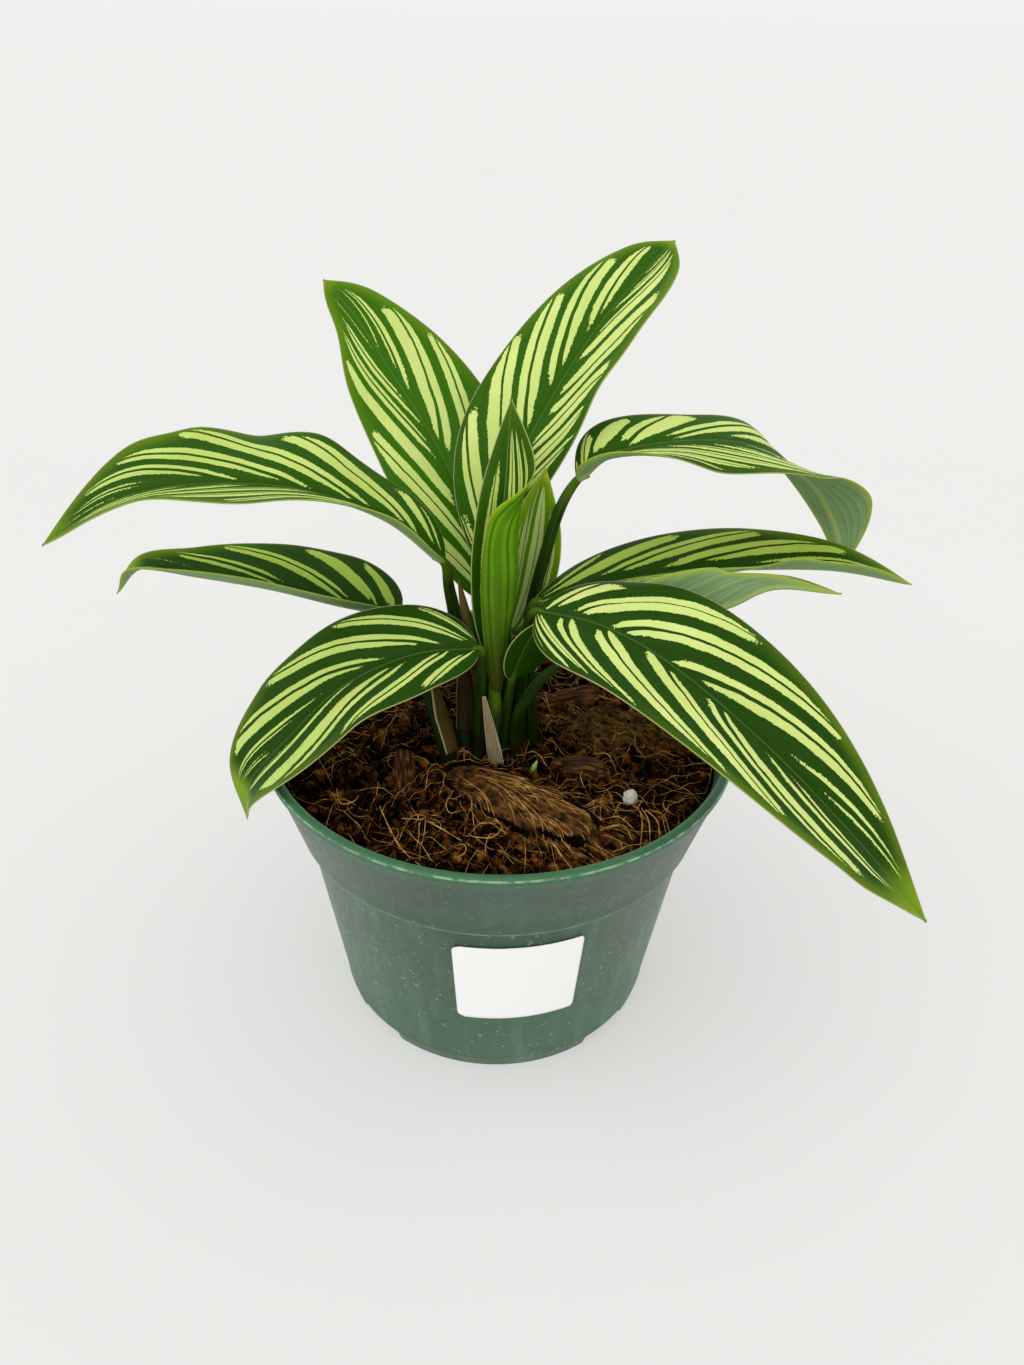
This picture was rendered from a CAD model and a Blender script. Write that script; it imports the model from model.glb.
# %% [markdown]
# A potted vittata calathea, dressed in Blender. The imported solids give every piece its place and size.
# This lesson keeps them as the frame, and lays finer surfaces over them: leaves with stripes and veins,
# round stalks, a moulded pot and a bed of coconut fibre. All surfaces are worked out with numpy as
# functions of two parameters, in millimetres, and turned to metres only when a mesh is made.

import bpy
import numpy as np
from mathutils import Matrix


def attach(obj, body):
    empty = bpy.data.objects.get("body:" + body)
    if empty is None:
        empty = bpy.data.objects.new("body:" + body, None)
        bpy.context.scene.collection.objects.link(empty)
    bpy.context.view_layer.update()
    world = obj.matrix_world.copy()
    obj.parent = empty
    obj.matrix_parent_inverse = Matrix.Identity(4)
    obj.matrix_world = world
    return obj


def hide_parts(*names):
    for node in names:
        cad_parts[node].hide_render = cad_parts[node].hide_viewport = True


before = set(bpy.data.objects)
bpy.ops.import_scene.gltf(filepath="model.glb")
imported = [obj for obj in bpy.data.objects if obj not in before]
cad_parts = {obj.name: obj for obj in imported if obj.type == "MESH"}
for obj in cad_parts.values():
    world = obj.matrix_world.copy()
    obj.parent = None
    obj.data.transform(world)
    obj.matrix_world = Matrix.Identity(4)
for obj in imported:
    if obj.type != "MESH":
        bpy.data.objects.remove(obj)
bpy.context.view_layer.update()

# %% [markdown]
# Blender works in metres and in linear light. The values of a plant are easier to read in millimetres,
# degrees and sRGB hex colours, so three small conversions come first. A random generator with a fixed
# seed makes every run the same.

# %% Units, colours and chance
MILLIMETRE = 0.001
SEED = 20
rng = np.random.default_rng(SEED)


def linear(hex_colour):
    """sRGB to linear light: a power of 2.4 above a short straight toe, for each channel."""
    channels = np.array([int(hex_colour[i:i + 2], 16) for i in (1, 3, 5)]) / 255
    light = np.where(channels <= 0.04045, channels / 12.92, ((channels + 0.055) / 1.055) ** 2.4)
    return (*light.tolist(), 1.0)


def unit(vectors):
    """Each vector divided by its own length."""
    return vectors / np.maximum(np.linalg.norm(vectors, axis=-1, keepdims=True), 1e-12)


def smooth(low, high, value):
    """0 below low, 1 above high and an S-shaped curve between them."""
    share = np.clip((value - low) / (high - low), 0, 1)
    return share * share * (3 - 2 * share)


print("mid grey in linear light:", round(linear("#808080")[0], 3))

# %% [markdown]
# Nearly every piece here is a skin wrapped round a row of rings: a stalk, a fibre, and a leaf too, whose
# ring runs over the upper side and back along the underside. It could be built by extruding edges, or
# with a curve and a bevel. One function that takes an array of rings serves all of them, and writing whole
# arrays into the mesh is much faster than adding one vertex at a time.

# %% Two small helpers
def stand(name, data):
    """A new object with this data, linked to the scene."""
    thing = bpy.data.objects.new(name, data)
    bpy.context.scene.collection.objects.link(thing)
    return thing


def both_sides(upper, lower):
    """The rows of a sheet's upper side, then those of its lower side back again, as closed rings."""
    return np.concatenate([upper, lower[:, ::-1]], axis=1)[None]


strip = np.zeros((2, 3, 3))
print("two rows of three points on each side:", both_sides(strip, strip).shape)


# %% Rings to a mesh
def skin(name, rings, materials, node=None, values=None, underside=None):
    """Quads between neighbouring rings and a cap on each end.

    rings has the shape (pieces, rows, ring, 3) in millimetres. Each ring runs anticlockwise seen from
    its path's end, so that the faces look outwards. values are numbers kept at each point, and
    underside marks the quads of a ring that take the second material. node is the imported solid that
    the skin stands for, and slot the finish it belongs to.
    """
    pieces, rows, ring, _ = rings.shape
    number = np.arange(pieces * rows * ring).reshape(pieces, rows, ring)
    ahead = np.roll(number, -1, axis=2)
    quads = np.stack([number[:, :-1], ahead[:, :-1], ahead[:, 1:], number[:, 1:]], axis=-1).reshape(-1, 4)
    caps = np.concatenate([number[:, 0, ::-1], number[:, -1]]).reshape(-1, ring)
    corners = np.concatenate([quads.ravel(), caps.ravel()])
    sizes = np.concatenate([np.full(len(quads), 4), np.full(len(caps), ring)])
    mesh = bpy.data.meshes.new(name)
    mesh.vertices.add(number.size)
    mesh.vertices.foreach_set("co", (rings * MILLIMETRE).astype(np.float32).ravel())
    mesh.loops.add(len(corners))
    mesh.loops.foreach_set("vertex_index", corners.astype(np.int32))
    mesh.polygons.add(len(sizes))
    mesh.polygons.foreach_set("loop_start", (np.cumsum(sizes) - sizes).astype(np.int32))
    mesh.polygons.foreach_set("loop_total", sizes.astype(np.int32))
    mesh.polygons.foreach_set("use_smooth", np.ones(len(sizes), bool))
    if underside is not None:
        lower = np.broadcast_to(underside, (pieces, rows - 1, ring)).ravel()
        second = np.concatenate([lower, np.zeros(len(caps))])
        mesh.polygons.foreach_set("material_index", second.astype(np.int32))
    for key, numbers in (values or {}).items():
        layer = mesh.attributes.new(key, "FLOAT", "POINT")
        spread = np.broadcast_to(numbers, number.shape)
        layer.data.foreach_set("value", spread.astype(np.float32).ravel())
    for material in materials:
        mesh.materials.append(material)
    mesh.update(calc_edges=True)
    mesh.validate()
    piece = stand(name, mesh)
    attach(piece, "root")
    if node:
        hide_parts(node)
    print(f"{name}: {len(quads) * 2 + len(caps) * (ring - 2)} triangles")


# %% [markdown]
# A stalk, a midrib and a fibre are drawn through a few points that a hand chose. Blender's own curves
# could join them, but the leaves need the curve's points and headings as numbers. So the curve is worked
# out here: a cubic that at each point runs parallel to the line between the point's neighbours.

# %% Curves through points
def along(points, share):
    """The cubic curve through points, with mirrored ends, at shares from 0 to 1.

    Between b and c, with the neighbours a and d, it is b + (c - a) f / 2 + (2a - 5b + 4c - d) f^2 / 2
    + (3b - a - 3c + d) f^3 / 2, where f goes from 0 to 1.
    """
    points = np.asarray(points, float)
    if len(points) == 1:
        return np.broadcast_to(points[0], (len(share), points.shape[1])).copy()
    padded = np.concatenate([[2 * points[0] - points[1]], points, [2 * points[-1] - points[-2]]])
    place = np.clip(share, 0, 1) * (len(points) - 1)
    i = np.minimum(place.astype(int), len(points) - 2)
    f = (place - i)[:, None]
    a, b, c, d = padded[i], padded[i + 1], padded[i + 2], padded[i + 3]
    squared, cubed = (2 * a - 5 * b + 4 * c - d) * f ** 2, (3 * b - a - 3 * c + d) * f ** 3
    return 0.5 * (2 * b + (c - a) * f + squared + cubed)


def direction(points, share, step=1e-3):
    """The unit vector along the curve, from the difference of two near points."""
    return unit(along(points, np.minimum(share + step, 1)) - along(points, np.maximum(share - step, 0)))


def tube(path, radii, rows=40, ring=20, facing=None):
    """Circles of the given radii across the curve: centre + radius x (right cos a + front sin a)."""
    share = np.linspace(0, 1, rows)
    tangent = direction(path, share)
    if facing is not None:
        tangent[-1] = facing
    right = unit(np.cross(tangent, [0, 1, 0]))
    front = np.cross(right, tangent)
    radius = along(np.asarray(radii, float)[:, None], share)
    angle = 2 * np.pi * np.arange(ring) / ring
    around = right[:, None] * np.cos(angle)[:, None] + front[:, None] * np.sin(angle)[:, None]
    return (along(path, share)[:, None] + radius[:, None] * around)[None, :, ::-1]


halfway = along([(0, 0, 0), (0, 0, 60), (20, 0, 90)], np.array([0.5]))
print("the middle of a bent path:", halfway.round(1))

# %% [markdown]
# Materials are node trees. Each one starts from what the real thing is made of. A single helper adds a
# node with its settings and joins its inputs, and hands back an output, so a tree reads from the inside
# out like a formula. Patterns read Object coordinates, which are metres here because every piece's object
# stays at the origin, so a scale of 1000 gives marks about 1 mm wide.

# %% One helper for material nodes
# Most nodes take their inputs from the first socket on and are read at their first output. A Mix of
# colours takes its share and two colours further down, and is read there. So are an attribute's number
# and the Object coordinates.
TAKES_AT = {"Mix": (0, 6, 7)}
READ_AT = {"Mix": 2, "Attribute": 2, "TexCoord": 3}


def add(tree, kind, *inputs, out=None, stops=(), **settings):
    """A node of a kind: inputs in the sockets' order, or one dict by number or name; text is a colour.

    A word after the kind is its operation. stops are the places and colours of a colour ramp. The
    result is the output with the number out. Every Mix here mixes colours.
    """
    kind, _, operation = kind.partition(" ")
    node = tree.nodes.new("ShaderNode" + kind)
    if operation:
        settings["operation"] = operation
    if kind == "Mix":
        settings["data_type"] = "RGBA"
    for key, value in settings.items():
        setattr(node, key, value)
    given = dict(zip(TAKES_AT.get(kind, range(len(inputs))), inputs))
    if inputs and isinstance(inputs[0], dict):
        given = inputs[0]
    for key, value in given.items():
        if isinstance(value, bpy.types.NodeSocket):
            tree.links.new(value, node.inputs[key])
        elif value is not None:
            node.inputs[key].default_value = linear(value) if isinstance(value, str) else value
    for number, (place, colour) in enumerate(stops):
        band = node.color_ramp.elements
        element = band[number] if number < len(band) else band.new(place)
        element.position, element.color = place, linear(colour)
    if node.outputs:
        return node.outputs[READ_AT.get(kind, 0) if out is None else out]


def surface(name):
    """A new material and its empty tree."""
    material = bpy.data.materials.new(name)
    material.use_nodes = True
    material.node_tree.nodes.clear()
    return material, material.node_tree


print("nodes that aren't read at their first output:", ", ".join(READ_AT))

# %% [markdown]
# The leaf of a calathea is thin, waxy and slightly quilted between its side veins. The upper skin is
# deep green with pale yellow-green stripes in pairs, each pair split by the hairline of a side vein. They
# could be painted, but a pattern drawn from numbers stays sharp and follows any leaf. The mesh carries
# the numbers for it: the side vein that a point lies on, its distances to midrib and margin, where the
# stripes may start, and how far they may go, all in millimetres. White noise of a stripe's own number
# gives each stripe its own ends and width.

# %% Leaf upper skin: where the stripes are
def stripes(tree):
    """1 on a pale stripe: hairline < distance from the pair's middle < width, between its two ends."""
    vein, start, ending, broad = (add(tree, "Attribute", attribute_name=key)
                                for key in ("vein", "start", "ending", "broad"))
    # Teeth at the stripes' ends are 0.8 mm wide, and their edges bend every 7 mm.
    place = add(tree, "TexCoord")
    teeth = add(tree, "TexNoise", {"Vector": place, "Scale": 1300.0, "Detail": 4.0, "Roughness": 0.65})
    bends = add(tree, "TexNoise", {"Vector": place, "Scale": 150.0, "Detail": 1.0})
    jag = add(tree, "Math ADD", teeth, -0.5)
    sway = add(tree, "Math ADD", bends, -0.5)
    moved = add(tree, "Math MULTIPLY_ADD", sway, 0.07, vein)
    # Pairs lie on whole numbers, so a stripe is one half of the way to the next whole number.
    half = add(tree, "Math ADD", moved, 0.5)
    aside = add(tree, "Math ADD", add(tree, "Math FRACT", half), -0.5)
    aside = add(tree, "Math ABSOLUTE", aside)
    stripe = add(tree, "Math FLOOR", add(tree, "Math MULTIPLY", moved, 2.0))
    pair = add(tree, "Math FLOOR", half)
    # Three chances: for each stripe's first end, for its last end, and for each pair's hairline.
    chances = [add(tree, "TexWhiteNoise", {"W": add(tree, "Math ADD", number, shift)},
                   noise_dimensions="1D") for number, shift in ((stripe, 0.3), (stripe, 7.9), (pair, 3.1))]
    # The first end is 0.8 to 3.2 mm off the midrib, with teeth up to 2.8 mm long, and the last 0.5 to
    # 2.2 mm off the margin. Towards both ends a stripe narrows.
    first = add(tree, "Math MULTIPLY_ADD", chances[0], 2.4, 0.8)
    begun = add(tree, "Math SUBTRACT", start, first)
    begun = add(tree, "Math MULTIPLY_ADD", jag, 2.8, begun)
    last = add(tree, "Math MULTIPLY_ADD", chances[1], 1.7, 0.5)
    left = add(tree, "Math SUBTRACT", ending, last)
    left = add(tree, "Math MULTIPLY_ADD", jag, 1.6, left)
    grown = add(tree, "MapRange", begun, 0.0, 3.0, 0.62, 1.0)
    closed = add(tree, "Math POWER", add(tree, "MapRange", left, 0.0, 2.0, 0.0, 1.0), 0.5)
    slender = add(tree, "MapRange", left, 0.0, 7.0, 0.8, 1.0)
    # A width is a share of the way from one pair to the next: the leaf's own, give or take 0.035.
    width = add(tree, "Math MULTIPLY_ADD", add(tree, "Math ADD", chances[1], -0.5), 0.07, broad)
    for part in (grown, closed, slender):
        width = add(tree, "Math MULTIPLY", width, part)
    width = add(tree, "Math MULTIPLY_ADD", jag, 0.1, width)
    # The hairline between the two stripes is 0.3 to 1 mm wide and opens towards the midrib. On a few
    # pairs the stripes grow together.
    wide = add(tree, "Math MULTIPLY", add(tree, "Math POWER", chances[2], 2.5), 0.035)
    wide = add(tree, "Math ADD", add(tree, "MapRange", chances[2], 0.06, 0.1, -0.04, 0.028), wide)
    wide = add(tree, "Math ADD", add(tree, "MapRange", begun, 0.0, 7.0, 0.045, 0.0), wide)
    hairline = add(tree, "Math MULTIPLY_ADD", jag, 0.035, wide)
    outside = add(tree, "Math SUBTRACT", width, aside)
    inside = add(tree, "Math SUBTRACT", aside, hairline)
    mask = add(tree, "MapRange", outside, 0.0, 0.02, 0.0, 1.0)
    for value, high in ((inside, 0.012), (begun, 0.25), (left, 0.3)):
        mask = add(tree, "Math MULTIPLY", mask, add(tree, "MapRange", value, 0.0, high, 0.0, 1.0))
    return mask


# %% [markdown]
# Over the stripes comes the rest of the skin: a green that varies in streaks along the side veins, a
# fresher green at margin and tip, the midrib, the cream margin and a coat of wax with little gloss. Two
# skins are made, one for grown leaves and a lighter, yellower one for the young leaf at the back.

# %% Leaf upper skin: greens, wax and veins
def upper_skin(name, old, fresh, outer, dull, bright, border):
    """Waxy green, old to fresh by the leaf's own value, a fresher margin, and dull to bright stripes."""
    material, tree = surface(name)
    place = add(tree, "TexCoord")
    vein, rib, edge, green, pale, young = (add(tree, "Attribute", attribute_name=key)
                                           for key in ("vein", "rib", "edge", "green", "pale", "fresh"))
    cloud = add(tree, "TexNoise", {"Vector": place, "Scale": 70.0, "Detail": 3.0})
    # Clouds are 14 mm wide. Streaks lie along the side veins, 14 from one pair to the next, 8 mm long.
    lines = add(tree, "CombineXYZ", add(tree, "Math MULTIPLY", vein, 14.0),
                add(tree, "Math MULTIPLY", rib, 0.12))
    streak = add(tree, "TexNoise", {"Vector": lines, "Scale": 1.0, "Detail": 2.0})
    ripe = add(tree, "Math MULTIPLY_ADD", add(tree, "Math ADD", streak, -0.5), 0.5, green)
    ripe = add(tree, "MapRange", ripe, -0.15, 1.0)
    colour = add(tree, "Mix", ripe, old, fresh)
    near = add(tree, "Math MULTIPLY", young, add(tree, "MapRange", cloud, 0.25, 0.65, 0.6, 1.0))
    colour = add(tree, "Mix", near, colour, outer)
    glow = add(tree, "Math MULTIPLY_ADD", add(tree, "Math ADD", cloud, -0.5), 0.9, pale)
    yellow = add(tree, "Mix", glow, dull, bright)
    colour = add(tree, "Mix", stripes(tree), colour, yellow)
    # The midrib is a thin paler line in a groove, and the margin a cream line 0.3 mm wide.
    for distance, low, high, share, tint in ((rib, 0.15, 0.5, 0.4, "#5f7c3c"),
                                             (edge, 0.1, 0.35, 0.8, border)):
        line = add(tree, "MapRange", distance, low, high, share, 0.0)
        colour = add(tree, "Mix", line, colour, tint)
    # Fine side veins run 0.6 mm apart; the skin's cells are drawn 0.3 mm wide, coarser than they are.
    fine = add(tree, "Math SINE", add(tree, "Math MULTIPLY", vein, 75.0))
    cells = add(tree, "TexNoise", {"Vector": place, "Scale": 3000.0, "Detail": 1.0})
    height = add(tree, "Math MULTIPLY_ADD", fine, 0.25, cells)
    bump = add(tree, "Bump", {"Strength": 0.25, "Distance": 0.0002, "Height": height})
    gloss = add(tree, "MapRange", cloud, 0.3, 0.7, 0.36, 0.5)
    add(tree, "OutputMaterial", add(tree, "BsdfPrincipled", {
        "Base Color": colour, "Roughness": gloss, "Normal": bump, "IOR": 1.42, "Specular IOR Level": 0.1,
        "Subsurface Weight": 0.05, "Subsurface Radius": (0.8, 1.2, 0.1), "Subsurface Scale": 0.001}))
    return material


leaf_upper = upper_skin("calathea leaf, waxy upper skin",
                        "#1c3d02", "#376a02", "#7c9e16", "#a8c24e", "#d6e58a", "#b9b088")
young_upper = upper_skin("young calathea leaf, upper skin",
                         "#447806", "#6a9c0c", "#a4c01c", "#b4cc70", "#d0e090", "#c8cf7c")
print("leaf skins:", leaf_upper.name, young_upper.name, sep="; ")

# %% [markdown]
# The underside has no wax on it. It is a matt grey-green, on which the side veins show as darker lines
# and the pale stripes shine through faintly. It reads the same numbers as the upper skin, so its lines
# lie exactly under the stripes. A young leaf, still rolled, is a clear green that turns olive at its foot.

# %% Leaf underside
def under_skin(name, body, shade, rib_tint, margin, breadth=0.04, foot=None):
    """Matt skin: darker bands between the pairs, a dark line on each side vein, a clear margin."""
    material, tree = surface(name)
    place = add(tree, "TexCoord")
    vein, rib, edge = (add(tree, "Attribute", attribute_name=key) for key in ("vein", "rib", "edge"))
    # Clouds are 9 mm wide, and the fine side veins run 0.6 mm apart, as on the upper side.
    cloud = add(tree, "TexNoise", {"Vector": place, "Scale": 110.0, "Detail": 4.0})
    half = add(tree, "Math FRACT", add(tree, "Math ADD", vein, 0.5))
    aside = add(tree, "Math ABSOLUTE", add(tree, "Math ADD", half, -0.5))
    line = add(tree, "MapRange", aside, 0.0, breadth, 0.85, 0.0)
    band = add(tree, "MapRange", aside, 0.27, 0.35, 0.0, 0.4)
    colour = add(tree, "Mix", add(tree, "MapRange", cloud, 0.3, 0.7, 0.0, 0.35), body, shade)
    colour = add(tree, "Mix", add(tree, "Math MAXIMUM", line, band), colour, shade)
    for distance, low, high, tint in ((rib, 0.3, 1.3, rib_tint), (edge, 0.2, 2.2, margin)):
        share = add(tree, "MapRange", distance, low, high, 0.85, 0.0)
        colour = add(tree, "Mix", share, colour, tint)
    if foot:
        # The foot's colour fades out between 126 and 172 mm above the table.
        height = add(tree, "SeparateXYZ", place, out=2)
        share = add(tree, "MapRange", height, 0.126, 0.172, 0.85, 0.0)
        colour = add(tree, "Mix", share, colour, foot)
    fine = add(tree, "Math SINE", add(tree, "Math MULTIPLY", vein, 75.0))
    bump = add(tree, "Bump", {"Strength": 0.2, "Distance": 0.0002, "Height": fine})
    add(tree, "OutputMaterial", add(tree, "BsdfPrincipled", {
        "Base Color": colour, "Roughness": 0.6, "Normal": bump, "IOR": 1.42, "Specular IOR Level": 0.08,
        "Subsurface Weight": 0.05, "Subsurface Radius": (0.8, 1.2, 0.2), "Subsurface Scale": 0.001}))
    return material


leaf_under = under_skin("calathea leaf, matt underside", "#8ba874", "#5f8550", "#9fb566", "#a0b23c")
young_under = under_skin("young calathea leaf, underside", "#629a04", "#2c4c0c", "#7c7c58", "#9ab824",
                         breadth=0.13, foot="#3c4416")
print("undersides:", leaf_under.name, young_under.name, sep="; ")

# %% [markdown]
# Twelve leaves, each from a handful of hand-chosen values, because no two leaves of a plant hang alike.
# One leaf could be modelled and copied twelve times, but then the plant would look like a plastic one.
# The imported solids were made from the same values, so the fine leaves lie on them.
#
# - rib: points along the midrib; face: the way that the upper side looks.
# - half: the widths of the left and the right half; shape: how round the foot and how full the tip is.
# - swell: a change of each width on the way; fold: the steepness of each half at the midrib; curl: how
#   far it bends, in degrees; ruffles: each a side, a place, a lift and a span.
# - tone: the freshness of the green, and the brightness and breadth of the stripes; plain: how much of
#   the tip has none; ahead: lets lengthwise stripes start on the midrib; fresher: how much margin and
#   tip stand out.
# - stalk: points from the soil up; thick: the stalk's radii.

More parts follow.
